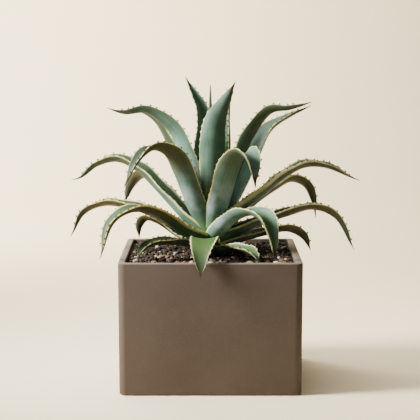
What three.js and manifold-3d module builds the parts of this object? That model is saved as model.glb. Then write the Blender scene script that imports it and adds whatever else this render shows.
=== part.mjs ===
// A potted agave: a rosette of arching, toothed, cream-edged leaves on a short stem, in a square
// stoneware pot filled with gritty potting mix. Millimetres, +Z up, the front faces -Y, and the
// origin is the middle of the pot's base, on the surface that the pot stands on.
import * as THREE from "three";
import { mergeVertices } from "three/addons/utils/BufferGeometryUtils.js";
import Module from "manifold-3d";

// ---- Driving dimensions, mm and degrees ----

// Gap between pieces that rest on each other, and the growth that cuts it out of a neighbour.
const GAP = 0.3;
const GROWTH = 0.45;
// Edges and bumps smaller than this are smoothed away where pieces have been cut.
const SMALLEST_EDGE = 0.1;

// Square pot: outer width at the rim and at the base, with rounded corners and edges.
const POT = {
  width: 200,
  baseWidth: 198.6,
  height: 145.5,
  wall: 7.6,
  floor: 9,
  cornerRadius: 8,
  rimRound: 1.2,
  footRound: 2.6,
  // The middle of a rounded edge lies this share of its radius in from both faces.
  roundMiddle: 0.3,
};
const CORNER_STEPS = 4;
const DRAIN = { radius: 5, fromMiddle: 34 };

// Potting mix: its mean level, the height and lengths of its gentle waves, and the rings, as
// shares of the pot's width, that its top is drawn through.
const MIX = { level: 140.6, wave: 0.9, lengths: [107, 132, 57], rings: [1, 0.86, 0.68, 0.48, 0.26] };
// Stones that stand out of the mix, as radii, kept clear of the wall, the stem and each other.
const STONES = {
  count: 50,
  smallest: 2.3,
  largest: 4.8,
  fromWall: 1.2,
  fromStem: 26,
  spacing: 1.2,
  // Least and most length, breadth and height of a stone, as shares of its radius.
  shares: [[1, 1.3], [0.75, 1.1], [0.55, 0.85]],
  // How far its middle stands over the mix, as a share of its radius.
  raised: 0.15,
  seed: 20,
};

// Stem: a short trunk, buried at its foot, that carries every leaf. [radius, height]
const STEM = [
  [6, 98],
  [8.5, 106],
  [9.5, 140],
  [11, 152],
  [11, 160],
  [9, 172],
  [7.5, 184],
  [6.5, 194],
];
// Bud: the furled spear in the middle of the rosette. [radius, height]
const BUD = [
  [6, 194.3],
  [8.2, 212],
  [7.8, 236],
  [6.4, 262],
  [4.4, 286],
  [2.3, 306],
  [1.3, 322],
  [0.5, 334],
];
const ROUND_SIDES = 12;

// A leaf's half width, channel, thickness and edge from its root (0) to the tip of its spine (1).
const OUTLINE = [
  [0, 0.76],
  [0.08, 0.9],
  [0.2, 0.88],
  [0.42, 1],
  [0.58, 0.97],
  [0.72, 0.78],
  [0.84, 0.46],
  [0.92, 0.2],
  [0.945, 0.1],
  [1, 0.035],
];
const CHANNEL = [
  [0, 1.25],
  [0.25, 0.95],
  [0.6, 0.8],
  [0.9, 0.95],
  [1, 0.4],
];
const THICKNESS = [
  [0, 7],
  [0.15, 5.4],
  [0.4, 3.4],
  [0.7, 2.4],
  [0.92, 1.8],
  [1, 0.8],
];
const EDGE_THICKNESS = [
  [0, 1.6],
  [0.5, 1.2],
  [0.92, 1],
  [1, 0.6],
];
// The blade's section, edge to edge over the inner face and back under the outer one. The
// sections stand evenly along the rib.
const INNER_SECTION = [1, 0.5, 0, -0.5, -1];
const OUTER_SECTION = [-1, 0, 1];
const SECTION_PITCH = 13.5;

// Teeth: one on each edge between two sections of the blade, hooked back towards the root.
const TOOTH = { height: 2.1, base: 2.2, hook: 0.8, first: 0.2, last: 0.93, stagger: 0.16 };

// Each leaf: the direction it grows in (0 is +X, 270 is the front), its widest width, and the
// route of its rib as [reach from the middle, height, sideways sway]. Some are flatter than the
// others (cup), and some turn about their own rib, from one angle at the root to another at the
// tip, fastest towards the tip.
const LEAVES = [
  // Upright leaves round the bud.
  {
    azimuth: 280,
    width: 31,
    route: [[7, 188], [15, 225], [18, 264], [17, 296, 4], [15, 317, 15], [15, 338, 26]],
  },
  {
    azimuth: 110,
    width: 21,
    route: [[7, 190], [15, 232, 2.5], [18.5, 262, 4], [18.5, 288, 1.5], [19.5, 307, 4], [22, 320, 10], [26, 343, 21]],
  },
  {
    azimuth: 14,
    width: 22,
    turn: [20, 0],
    route: [[7, 190], [16, 222], [20, 262], [20.5, 296], [22.5, 318]],
  },
  {
    azimuth: 84,
    width: 26,
    route: [[7, 186], [16, 220], [28, 256], [52, 281], [84, 285], [112, 270]],
  },
  // Upper arches.
  {
    azimuth: 192,
    width: 31,
    turn: [20, 15],
    route: [[7, 184.4], [23.9, 236.9], [43.5, 282.1], [72.6, 304.5], [97.5, 303.6], [118.3, 309.3]],
  },
  {
    azimuth: 338,
    width: 23,
    turn: [-18, -25],
    route: [[7, 187], [29, 234], [47.2, 276.8], [71.5, 305.2], [94, 309.3], [120.5, 316.7]],
  },
  {
    azimuth: 8,
    width: 33,
    cup: 0.8,
    turn: [40, -18],
    route: [[7, 179], [26.5, 207], [46, 245.3], [66.5, 282], [92, 299], [116, 310]],
  },
  {
    azimuth: 170,
    width: 30,
    turn: [20, 10],
    route: [[7, 182.4], [27.5, 221.5], [47.5, 266], [62.5, 292], [77, 302.3], [90.3, 304.6]],
  },
  {
    azimuth: 76,
    width: 26,
    route: [[7, 176], [26, 212], [48, 244], [80, 250], [106, 232], [118, 210]],
  },
  {
    azimuth: 106,
    width: 26,
    route: [[7, 175], [28, 208], [52, 238], [84, 244], [110, 226], [122, 204]],
  },
  {
    azimuth: 308.5,
    width: 37.5,
    cup: 1.05,
    route: [[7, 173], [22.4, 205], [34.4, 232], [46.2, 252], [60, 260.5], [71, 254], [76.8, 239], [79.5, 223]],
  },
  {
    azimuth: 215,
    width: 33,
    cup: 0.95,
    turn: [20, 0],
    route: [[6, 171], [25, 203], [40, 236], [56, 259], [78, 265], [100, 250], [115, 225]],
  },
  // Middle arches.
  {
    azimuth: 145,
    width: 27,
    turn: [0, 46],
    route: [[7, 165], [28, 179], [52, 197.5], [78, 219.5], [99, 225.5], [114, 214], [125, 190]],
  },
  {
    azimuth: 172,
    width: 30,
    cup: 1.2,
    turn: [-10, 6],
    route: [[7, 167], [30, 186], [62, 218], [82, 236.5], [106, 247.5], [131, 242], [150, 228], [162, 224]],
  },
  {
    azimuth: 27,
    width: 22,
    turn: [0, -48],
    route: [[7, 164], [30, 180], [51, 195], [84, 213], [106, 221.5], [126, 215], [136, 198], [140, 175]],
  },
  {
    azimuth: 5,
    width: 30,
    cup: 1.15,
    turn: [-8, 8],
    route: [[7, 167], [29, 190], [59, 210], [82, 228], [106, 241], [131, 241], [172, 224]],
  },
  {
    azimuth: 88,
    width: 28,
    route: [[7, 160], [38, 181], [74, 197], [106, 193], [130, 166]],
  },
  // Lower arches.
  {
    azimuth: 178,
    width: 28,
    cup: 1.1,
    turn: [-6, 12],
    route: [[7, 158], [29, 168], [63, 186], [96, 196], [122, 198], [145, 187.5], [160.5, 160]],
  },
  {
    azimuth: 358,
    width: 28,
    cup: 1.1,
    turn: [4, -20],
    route: [[7, 158], [25, 166], [59, 179], [88, 188], [117, 195], [143, 184], [164, 147]],
  },
  {
    azimuth: 311,
    width: 32,
    cup: 1.15,
    route: [[7, 160], [18, 170], [35, 183], [66, 194], [88, 191], [101, 173], [107, 147]],
  },
  {
    azimuth: 213,
    width: 29,
    turn: [0, 10],
    route: [[7, 160], [20, 164], [40, 173], [73, 193], [104, 198], [128, 186], [144, 147]],
  },
  // Leaves that lie low over the mix and the rim.
  {
    azimuth: 155,
    width: 26,
    turn: [-20, 40],
    route: [[8, 151], [40, 163], [66, 175], [83, 177], [91, 168], [92, 154]],
  },
  {
    azimuth: 121,
    width: 26,
    route: [[8, 150], [40, 158], [72, 167], [96, 169], [112, 160]],
  },
  {
    azimuth: 58,
    width: 26,
    route: [[8, 150], [40, 158], [75, 164], [105, 161], [124, 148]],
  },
  {
    azimuth: 15,
    width: 27,
    turn: [8, -50],
    route: [[8, 151], [35, 158], [65, 163], [94, 166], [113, 156], [121, 141]],
  },
  {
    azimuth: 304,
    width: 25,
    route: [[8, 148], [30, 151], [52, 153], [73, 153], [88, 150], [96, 143]],
  },
  {
    azimuth: 223,
    width: 27,
    route: [[8, 151], [25, 155], [58, 160], [88, 161], [104, 155], [109, 145]],
  },
  {
    azimuth: 264.5,
    width: 29,
    cup: 0.35,
    route: [[8, 151], [28, 159], [50, 165], [68, 168], [86, 166], [101, 159], [109, 147], [110, 129]],
  },
];

// ---- Materials ----

const stoneware = new THREE.MeshStandardMaterial({ color: 0x7a6a59, roughness: 0.85, metalness: 0 });
const grit = new THREE.MeshStandardMaterial({ color: 0x4a3a2b, roughness: 0.95, metalness: 0 });
const stemGreen = new THREE.MeshStandardMaterial({ color: 0xb9c08e, roughness: 0.7, metalness: 0 });
const leafGreen = new THREE.MeshStandardMaterial({ color: 0x6f9080, roughness: 0.5, metalness: 0 });
const budGreen = new THREE.MeshStandardMaterial({ color: 0x7d9b8c, roughness: 0.5, metalness: 0 });

// ---- Solids: closed meshes in and out of the boolean library ----

const wasm = await Module();
wasm.setup();

function toSolid(geometry) {
  const bare = new THREE.BufferGeometry();
  bare.setAttribute("position", geometry.getAttribute("position"));
  if (geometry.index) bare.setIndex(geometry.index);
  const merged = mergeVertices(bare, 1e-4);
  return new wasm.Manifold(
    new wasm.Mesh({
      numProp: 3,
      vertProperties: new Float32Array(merged.attributes.position.array),
      triVerts: new Uint32Array(merged.index.array),
    }),
  );
}

function toGeometry(solid) {
  const mesh = solid.getMesh();
  const geometry = new THREE.BufferGeometry();
  geometry.setAttribute("position", new THREE.BufferAttribute(mesh.vertProperties, 3));
  geometry.setIndex(new THREE.BufferAttribute(mesh.triVerts, 1));
  geometry.computeVertexNormals();
  return geometry;
}

// The largest separate body of a solid: scraps that a cut leaves behind are dropped.
function largestBody(solid) {
  return solid.decompose().reduce((a, b) => (b.volume() > a.volume() ? b : a));
}

// Triangles between two rows of vertices that run side by side.
function zip(index, left, right) {
  const end = right[right.length - 1];
  for (let k = 0; k + 1 < right.length; k++) index.push(left[0], right[k], right[k + 1]);
  for (let k = 0; k + 1 < left.length; k++) index.push(left[k], end, left[k + 1]);
}

// Closes a skin's first and last ring of vertices with a fan of triangles round their middle.
function addCaps(positions, index, rings, count) {
  for (const [ring, flip] of [[0, true], [rings - 1, false]]) {
    const at = (i) => ring * count + (i % count);
    const hub = positions.length;
    const middle = new THREE.Vector3();
    for (let i = 0; i < count; i++) middle.addScaledVector(positions[at(i)], 1 / count);
    positions.push(middle);
    for (let i = 0; i < count; i++) {
      index.push(...(flip ? [at(i + 1), at(i), hub] : [at(i), at(i + 1), hub]));
    }
  }
}

function toIndexed(positions, index) {
  const geometry = new THREE.BufferGeometry().setFromPoints(positions);
  geometry.setIndex(index);
  return geometry;
}

// A closed skin through rings of points that all have the same count.
function skin(rings) {
  const count = rings[0].length;
  const positions = rings.flat();
  const index = [];
  for (let ring = 0; ring + 1 < rings.length; ring++) {
    for (let i = 0; i < count; i++) {
      const [a, b] = [ring * count + i, ring * count + ((i + 1) % count)];
      zip(index, [a, a + count], [b, b + count]);
    }
  }
  addCaps(positions, index, rings.length, count);
  return toIndexed(positions, index);
}

// Value at t on straight lines through a list of [t, value] stations.
function valueAt(stations, t) {
  let i = stations.findIndex(([at]) => at > t);
  if (i < 0) return stations[stations.length - 1][1];
  i = Math.max(i, 1);
  const [t0, v0] = stations[i - 1];
  const [t1, v1] = stations[i];
  return THREE.MathUtils.lerp(v0, v1, (t - t0) / (t1 - t0));
}

// ---- Pot ----

// One level of a square with rounded corners.
function squareRing(half, radius, z) {
  const ring = [];
  for (let corner = 0; corner < 4; corner++) {
    const turn = (corner * Math.PI) / 2;
    for (let step = 0; step <= CORNER_STEPS; step++) {
      const a = turn + (step / CORNER_STEPS) * (Math.PI / 2);
      const x = Math.sign(Math.cos(turn + Math.PI / 4)) * (half - radius) + radius * Math.cos(a);
      const y = Math.sign(Math.sin(turn + Math.PI / 4)) * (half - radius) + radius * Math.sin(a);
      ring.push(new THREE.Vector3(x, y, z));
    }
  }
  return ring;
}

// Half width of the pot's outside at a height.
function potHalf(z) {
  return THREE.MathUtils.lerp(POT.baseWidth, POT.width, z / POT.height) / 2;
}

function potSolid() {
  const { height, wall, floor, cornerRadius, rimRound, footRound, roundMiddle } = POT;
  const [rimMiddle, footMiddle] = [rimRound * roundMiddle, footRound * roundMiddle];
  const outer = (z, inset) => squareRing(potHalf(z) - inset, cornerRadius - inset, z);
  const inner = (z, inset) =>
    squareRing(potHalf(z) - wall + inset, cornerRadius - wall / 2 + inset, z);
  const levels = [
    outer(0, footRound),
    outer(footMiddle, footMiddle),
    outer(footRound, 0),
    outer(height - rimRound, 0),
    outer(height - rimMiddle, rimMiddle),
    outer(height, rimRound),
    inner(height, rimRound),
    inner(height - rimMiddle, rimMiddle),
    inner(height - rimRound, 0),
    inner(floor, 0),
  ];
  let pot = toSolid(skin(levels));
  for (const [x, y] of [[1, 1], [-1, 1], [-1, -1], [1, -1]]) {
    const hole = new THREE.CylinderGeometry(DRAIN.radius, DRAIN.radius, floor * 3, ROUND_SIDES);
    hole.rotateX(Math.PI / 2);
    hole.translate(x * DRAIN.fromMiddle, y * DRAIN.fromMiddle, 0);
    pot = pot.subtract(toSolid(hole));
  }
  return pot;
}

// ---- Stem and bud ----

function latheSolid(profile, growth = 0) {
  const points = profile.map(([r, z]) => new THREE.Vector2(r + growth, z));
  const foot = new THREE.Vector2(0, points[0].y - growth);
  const head = new THREE.Vector2(0, points[points.length - 1].y + growth);
  if (growth) {
    points.unshift(new THREE.Vector2(points[0].x, foot.y));
    points.push(new THREE.Vector2(points[points.length - 1].x, head.y));
  }
  const geometry = new THREE.LatheGeometry([foot, ...points, head], ROUND_SIDES);
  geometry.rotateX(Math.PI / 2);
  return toSolid(geometry);
}

// ---- Leaves ----

// The rib of a leaf in even steps, with the blade's own directions at each: along the rib,
// across the blade, and out of its inner face.
function leafFrames({ azimuth, turn = [0, 0], route }) {
  const a = THREE.MathUtils.degToRad(azimuth);
  const out = new THREE.Vector3(Math.cos(a), Math.sin(a), 0);
  const side = new THREE.Vector3(-Math.sin(a), Math.cos(a), 0);
  const rib = new THREE.CatmullRomCurve3(
    route.map(([reach, height, sway = 0]) =>
      new THREE.Vector3(0, 0, height).addScaledVector(out, reach).addScaledVector(side, sway),
    ),
    false,
    "centripetal",
  );
  const steps = Math.round(rib.getLength() / SECTION_PITCH);
  const frames = [];
  for (let i = 0; i <= steps; i++) {
    const t = i / steps;
    const along = rib.getTangentAt(t);
    const across = side.clone().addScaledVector(along, -side.dot(along)).normalize();
    const roll = THREE.MathUtils.degToRad(THREE.MathUtils.lerp(turn[0], turn[1], t * t));
    across.applyAxisAngle(along, roll);
    const inner = new THREE.Vector3().crossVectors(along, across);
    frames.push({ t, point: rib.getPointAt(t), along, across, inner });
  }
  return { frames, steps, step: rib.getLength() / steps };
}

// Half the angle that the blade's channel bends through at t.
function bendAt({ cup = 1 }, t) {
  return cup * valueAt(CHANNEL, t);
}

// A point of the blade's section: q runs from edge (-1) to edge (1) round the channel's arc, and
// depth goes from the inner face towards the outer one. Growth moves it past the edge and, by
// lift, off its face.
function bladePoint(frame, leaf, q, depth, growth, lift) {
  const bend = bendAt(leaf, frame.t);
  const radius = (leaf.width / 2) * (valueAt(OUTLINE, frame.t) / bend);
  const [sin, cos] = [Math.sin(bend * q), Math.cos(bend * q)];
  const reach = radius + depth + lift;
  return frame.point
    .clone()
    .addScaledVector(frame.across, reach * sin + growth * q * cos)
    .addScaledVector(frame.inner, radius - reach * cos + growth * q * sin);
}

function thicknessAt(t, q) {
  const edge = valueAt(EDGE_THICKNESS, t);
  return edge + (valueAt(THICKNESS, t) - edge) * (1 - q * q);
}

// The points round one section of the blade, all moved outwards by growth.
function bladeRing(frame, leaf, growth) {
  const outer = (q) => bladePoint(frame, leaf, q, thicknessAt(frame.t, q), growth, growth);
  return [
    ...INNER_SECTION.map((q) => bladePoint(frame, leaf, q, 0, growth, -growth)),
    ...OUTER_SECTION.map(outer),
  ];
}

// Triangles across one section of the blade, laced between its inner points and its outer ones.
// They face along the rib, or back along it for the root.
function addBladeEnd(index, start, isRoot) {
  const outer = [...OUTER_SECTION].reverse();
  const last = start + INNER_SECTION.length + OUTER_SECTION.length - 1;
  let [i, j] = [0, 0];
  while (i + 1 < INNER_SECTION.length || j + 1 < outer.length) {
    const inward = j + 1 === outer.length || INNER_SECTION[i + 1] > outer[j + 1];
    const face = inward
      ? [start + i, start + i + 1, last - j]
      : [start + i, last - j - 1, last - j];
    index.push(...(isRoot ? face.reverse() : face));
    if (inward) i += 1;
    else j += 1;
  }
}

// A leaf as one closed skin: the blade through its sections, with its teeth drawn out of the two
// edge strips.
function leafSolid(leaf, growth = 0) {
  const { frames, steps, step } = leafFrames(leaf);
  const rings = frames.map((frame) => bladeRing(frame, leaf, growth));
  rings[0].forEach((p) => p.addScaledVector(frames[0].along, -growth));
  rings[steps].forEach((p) => p.addScaledVector(frames[steps].along, growth));
  const count = rings[0].length;
  const positions = rings.flat();
  const index = [];

  // The row of vertices down one column of the skin between two sections, with the two corners of
  // a tooth's root on it where there is one.
  const row = (i, column, corners = []) => {
    const ends = [i * count + (column % count), (i + 1) * count + (column % count)];
    const extra = corners.map((share) => {
      positions.push(positions[ends[0]].clone().lerp(positions[ends[1]], share));
      return positions.length - 1;
    });
    return [ends[0], ...extra, ends[1]];
  };

  for (let i = 0; i < steps; i++) {
    const toothed = frames[i].t >= TOOTH.first && frames[i + 1].t <= TOOTH.last;
    const rows = [];
    for (let column = 0; column < count; column++) {
      const edge = column === 0 || column === count - 1 ? 1 : -1;
      const onEdge = [0, count - 1, INNER_SECTION.length - 1, INNER_SECTION.length].includes(column);
      const middle = 0.5 + edge * TOOTH.stagger;
      const half = (TOOTH.base / 2 + growth) / step;
      rows.push(row(i, column, toothed && onEdge ? [middle - half, middle + half] : []));
    }
    rows.forEach((left, column) => {
      const right = rows[(column + 1) % count];
      if (left.length === 2 || right.length === 2) {
        zip(index, left, right);
        return;
      }
      const edge = column === count - 1 ? 1 : -1;
      const [l0, l1, l2, l3] = left;
      const [r0, r1, r2, r3] = right;
      const tip = positions.length;
      const frame = frames[i];
      const bend = bendAt(leaf, frame.t) * edge;
      const root = [l1, l2, r1, r2].reduce(
        (sum, v) => sum.addScaledVector(positions[v], 0.25),
        new THREE.Vector3(),
      );
      root.addScaledVector(frame.across, (TOOTH.height + growth) * edge * Math.cos(bend));
      root.addScaledVector(frame.inner, (TOOTH.height + growth) * edge * Math.sin(bend));
      positions.push(root.addScaledVector(frame.along, -TOOTH.hook));
      zip(index, [l0, l1], [r0, r1]);
      index.push(l1, r1, tip, r1, r2, tip, r2, l2, tip, l2, l1, tip);
      zip(index, [l2, l3], [r2, r3]);
    });
  }
  addBladeEnd(index, 0, true);
  addBladeEnd(index, steps * count, false);
  return toSolid(toIndexed(positions, index));
}

// ---- Potting mix ----

// Repeatable draws between 0 and 1.
function seeded(seed) {
  let state = seed;
  return () => {
    state = (state * 1664525 + 1013904223) % 4294967296;
    return state / 4294967296;
  };
}

// Height of the mix at a place: a few slow waves round the mean level.
function mixHeight(x, y) {
  const [across, deep, slanted] = MIX.lengths.map((length) => (2 * Math.PI) / length);
  const broad = Math.sin(x * across + 1) * Math.cos(y * deep);
  return MIX.level + MIX.wave * (broad + 0.5 * Math.sin((x + y) * slanted));
}

// The mix fills the pot: straight sides, and a waved top drawn through ever smaller rings.
function mixBlock() {
  const bottom = POT.floor + GAP;
  const radius = POT.cornerRadius - POT.wall / 2 - GAP;
  const half = (z) => potHalf(z) - POT.wall - GAP;
  const top = MIX.rings.map((share) => {
    const ring = squareRing(half(MIX.level) * share, radius * share, 0);
    return ring.map((p) => p.setZ(mixHeight(p.x, p.y)));
  });
  return toSolid(skin([squareRing(half(bottom), radius, bottom), ...top]));
}

// A stone: a lump with flat faces, wider than it is high, sunk to about its middle.
function stoneSolid(random, x, y, size) {
  const lump = new THREE.IcosahedronGeometry(size, 0);
  lump.rotateX(random() * Math.PI);
  lump.rotateY(random() * Math.PI);
  lump.scale(...STONES.shares.map(([least, most]) => THREE.MathUtils.lerp(least, most, random())));
  lump.rotateZ(random() * Math.PI);
  lump.translate(x, y, mixHeight(x, y) + size * STONES.raised);
  return toSolid(lump);
}

function stones() {
  const random = seeded(STONES.seed);
  const inside = potHalf(MIX.level) - POT.wall - STONES.fromWall;
  const placed = [];
  const solids = [];
  while (placed.length < STONES.count) {
    const size = THREE.MathUtils.lerp(STONES.smallest, STONES.largest, random() ** 2);
    const reach = inside - size * STONES.shares[0][1];
    const [x, y] = [(2 * random() - 1) * reach, (2 * random() - 1) * reach];
    const apart = ([px, py, other]) =>
      Math.hypot(px - x, py - y) > STONES.spacing * (other + size);
    if (Math.hypot(x, y) < STONES.fromStem || !placed.every(apart)) continue;
    placed.push([x, y, size]);
    solids.push(stoneSolid(random, x, y, size));
  }
  return solids;
}

// ---- Assembly ----

const agave = new THREE.Group();

function addPiece(name, solid, material) {
  const mesh = new THREE.Mesh(toGeometry(solid), material);
  mesh.name = name;
  agave.add(mesh);
}

addPiece("pot", potSolid(), stoneware);
addPiece("stem", latheSolid(STEM), stemGreen);
addPiece("bud", latheSolid(BUD), budGreen);

// Each leaf gives way to the stem, the bud and the leaves below it.
let taken = latheSolid(STEM, GROWTH).add(latheSolid(BUD, GROWTH));
for (let i = LEAVES.length - 1; i >= 0; i--) {
  const name = "leaf_" + String(i + 1).padStart(2, "0");
  const whole = leafSolid(LEAVES[i]);
  const kept = largestBody(whole.subtract(taken).simplify(SMALLEST_EDGE));
  addPiece(name, kept, leafGreen);
  taken = taken.add(leafSolid(LEAVES[i], GROWTH));
}

const mix = wasm.Manifold.union([mixBlock(), ...stones()]).subtract(taken);
addPiece("potting_mix", largestBody(mix.simplify(SMALLEST_EDGE)), grit);

export default agave;
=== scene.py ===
"""A potted agave: arching, toothed, cream-edged leaves round a furled bud, in a square stoneware
pot of gritty mix. Metres, +Z up, the front faces -Y, and the origin is the middle of the pot's
base. Sizes below are in millimetres and are brought to metres by MM where they are used."""
import math
import random

import bpy
from mathutils import Matrix, Vector, noise


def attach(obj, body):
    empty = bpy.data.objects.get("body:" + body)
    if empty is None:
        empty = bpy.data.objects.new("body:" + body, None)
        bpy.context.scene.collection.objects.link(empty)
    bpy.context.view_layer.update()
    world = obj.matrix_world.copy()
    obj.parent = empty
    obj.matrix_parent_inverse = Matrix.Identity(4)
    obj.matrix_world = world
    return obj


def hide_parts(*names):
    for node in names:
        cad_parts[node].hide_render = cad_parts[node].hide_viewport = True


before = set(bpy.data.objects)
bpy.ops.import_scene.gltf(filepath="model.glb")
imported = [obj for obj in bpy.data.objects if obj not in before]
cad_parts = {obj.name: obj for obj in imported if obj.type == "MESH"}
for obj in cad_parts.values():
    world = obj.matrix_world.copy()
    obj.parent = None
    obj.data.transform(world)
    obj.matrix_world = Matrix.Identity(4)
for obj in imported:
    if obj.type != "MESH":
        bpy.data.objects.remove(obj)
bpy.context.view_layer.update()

MM = 0.001

# ---- Sizes ----

# Square pot: its outer width at the rim and at the base, its height, wall and floor, its corners
# outside and inside, its rounded edges, and its drain holes. Corners are drawn in CORNER_STEPS,
# and rounded edges in ROUND_STEPS.
POT_WIDTH = 200
POT_BASE_WIDTH = 198.6
POT_HEIGHT = 145.5
POT_WALL = 7.6
POT_FLOOR = 9
CORNER_RADIUS = 8
CORNER_STEPS = 8
INNER_CORNER_RADIUS = 4.2
RIM_ROUND = 1.3
FOOT_ROUND = 2.6
INNER_FOOT_ROUND = 3.2
ROUND_STEPS = 4
DRAIN_RADIUS = 5
DRAIN_SIDES = 32
DRAIN_FROM_MIDDLE = 34
DRAIN_PLACES = [(1, 1), (-1, 1), (-1, -1), (1, -1)]

# Potting mix: its level, the gap between it and the pot, the cells along each side of its top,
# and its relief as (height, width) of its slow waves, its lumps and its crumbs.
MIX_LEVEL = 140.8
MIX_GAP = 0.3
MIX_CELLS = 84
MIX_RELIEF = [(1.0, 40), (0.9, 4.2), (0.35, 1.7)]

# Large stones that show: (x, y) of each, its radius and its shade in GRIT_SHADES.
SHOWN_STONES = [
    (-82, -56, 3.4, 0.99), (-83, -34, 2.6, 0.99), (-80, -72, 3.6, 0.80), (-62, -70, 3.8, 0.93),
    (-56, -36, 3.4, 0.93), (-48, -34, 3.2, 0.92), (-43, -40, 2.6, 0.93), (-46, -54, 3.0, 0.97),
    (-44, -66, 2.8, 0.86), (-60, -52, 3.0, 0.70), (-35, -84, 4.6, 0.85), (-28, -86, 4.2, 0.93),
    (-21, -85, 4.8, 0.97), (0, -86, 4.0, 0.99), (43, -84, 4.8, 0.93), (62, -70, 3.2, 0.86),
    (72, -72, 3.4, 0.99), (76, -76, 3.0, 0.93), (80, -80, 3.6, 0.93), (79, -62, 4.4, 0.86),
    (24, -74, 3.6, 0.55), (42, -10, 2.6, 0.96), (78, -12, 3.0, 0.80), (84, -50, 2.8, 0.97),
]

# Grit: how many stones there are in all, the tries to place them, their radii, the power that
# makes small ones commoner, and how near two may come as a share of their radii. The shapes to
# copy are STONE_KINDS for stones up to LARGE_STONE and as many for larger ones. A stone tips by up
# to STONE_TILT radians, after its length, breadth and height are scaled by STONE_SPANS.
STONES = 1200
STONE_TRIES = 12 * STONES
STONE_SEED = 7
STONE_RADII = (1.2, 3.4)
SMALL_STONES = 2.2
STONE_CLOSENESS = 0.72
LARGE_STONE = 2.4
STONE_KINDS = 4
STONE_ROUGHNESS = 0.32
STONE_TILT = 0.5
STONE_SPANS = [(1.0, 1.25), (0.8, 1.0), (0.6, 0.8)]

# How near a scattered stone may come to the pot's wall, to the middle of the plant, and to a
# leaf's rib where that is less than LOW_LEAF over the mix.
WALL_MARGIN = 0.8
STEM_MARGIN = 15
LEAF_MARGIN = 3
LOW_LEAF = 6

# How high a stone's middle stands over the mix, as a share of its radius.
SHOWN_LIFT = 0.42
GRIT_LIFT = (0.1, 0.4)

# Stem and bud as (radius, height), and how finely each is drawn.
STEM = [(6, 98), (8.5, 106), (9.5, 140), (11, 152), (11, 160), (9, 172), (7.5, 184), (6.5, 194)]
STEM_SIDES = 32
STEM_PITCH = 1.5
BUD = [
    (6, 194.3), (8.2, 212), (7.8, 236), (6.4, 262), (4.4, 286), (2.3, 306), (1.3, 322), (0.4, 334),
]
BUD_SIDES = 48
BUD_PITCH = 2.5

# The scars round the stem: their depth, and the radians of their wave in a millimetre.
SCAR_DEPTH = 0.35
SCAR_RATE = 1.3

# The bud's rolled edge: its height as a share of the radius, where it starts, and how far it winds
# on its way up, in radians. Then the part of a leaf that the bud looks like, and its own values.
BUD_STEP = 0.09
BUD_START = 3.6
BUD_TWIST = 1.6
BUD_ALONG = (0.2, 0.96)
BUD_SKIN = dict(outer=1.0, thorn=0.0, own=0.37, olive_and_shade=0.15)

# A leaf from its root (0) to the tip of its spine (1): its half width as a share of its widest,
# the radians that its channel bends from rib to edge, and its thickness at the rib and the edge.
OUTLINE = [
    (0, 0.76), (0.08, 0.9), (0.2, 0.88), (0.42, 1), (0.58, 0.97),
    (0.72, 0.78), (0.84, 0.46), (0.92, 0.2), (0.945, 0.1), (1, 0.016),
]
CHANNEL = [(0, 1.25), (0.25, 0.95), (0.6, 0.8), (0.9, 0.95), (1, 0.4)]
THICKNESS = [(0, 7), (0.15, 5.4), (0.4, 3.4), (0.7, 2.4), (0.92, 1.8), (1, 0.4)]
EDGE_THICKNESS = [(0, 1.3), (0.5, 0.9), (0.92, 0.8), (1, 0.3)]

# How finely a blade is drawn: the points between two stops of its route, the distance between its
# rings, and its strips from edge to edge, which crowd towards the edges by EDGE_CROWDING.
ROUTE_STEPS = 40
RING_PITCH = 2.0
STRIPS = 14
EDGE_CROWDING = 0.35

# The waves along a blade's edges: their height, the least and most length, and how far the waves
# of one edge are ahead of the other's, in radians.
WAVE_HEIGHT = 0.7
WAVE_LENGTHS = (34, 48)
WAVE_LEAD = 1.3

# Teeth: how far apart, how uneven that is, and the part of the leaf that has them. Then each one:
# how far its foot is drawn in, the height of the foot and of the point over it, how far the point
# hooks back, how far the edge swells out at it, and the square of the rings over which that
# swelling falls to about a third.
TOOTH_PITCH = 8.0
TOOTH_SPACING = (0.78, 1.22)
TOOTH_RANGE = (0.14, 0.925)
TOOTH_INSET = 0.15
TOOTH_FOOT = 1.0
TOOTH_POINT = 1.4
TOOTH_HOOK = 0.8
TOOTH_SWELL = 0.25
SWELL_FALL = 1.6

# The colours of a leaf: bloom is how waxy and blue it is; the next how far the wax has gone and the
# skin darkens towards the tip, partly worn wax and partly painted shade over the arches and droops;
# the third how far painted shade darkens the middle of the inner face along its channel; the fourth
# how olive brown the outer face is over the arch, its darkness there being painted shade on the
# underside; frost how white that face is near the root, fresh how yellow-green the leaf is, gold
# how yellow its margin is, and margin how wide that is about the leaf's middle.
PLAIN_SKIN = dict(bloom=0.4, tip_wear_and_shade=0.6, channel_shade=0.4, olive_and_shade=0.5, frost=0.3, fresh=0.0, gold=0.25,
                  margin=1.5)

# What else a leaf's finish reads at each point: how far along the leaf it is (0 to 1) and across
# it (-1 to 1), its millimetres from the edge, 1 on the outer face, 1 at the points of the teeth,
# and a number of the leaf's own.
POINT_FACTS = ("along", "across", "edge", "outer", "thorn", "own")

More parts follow.
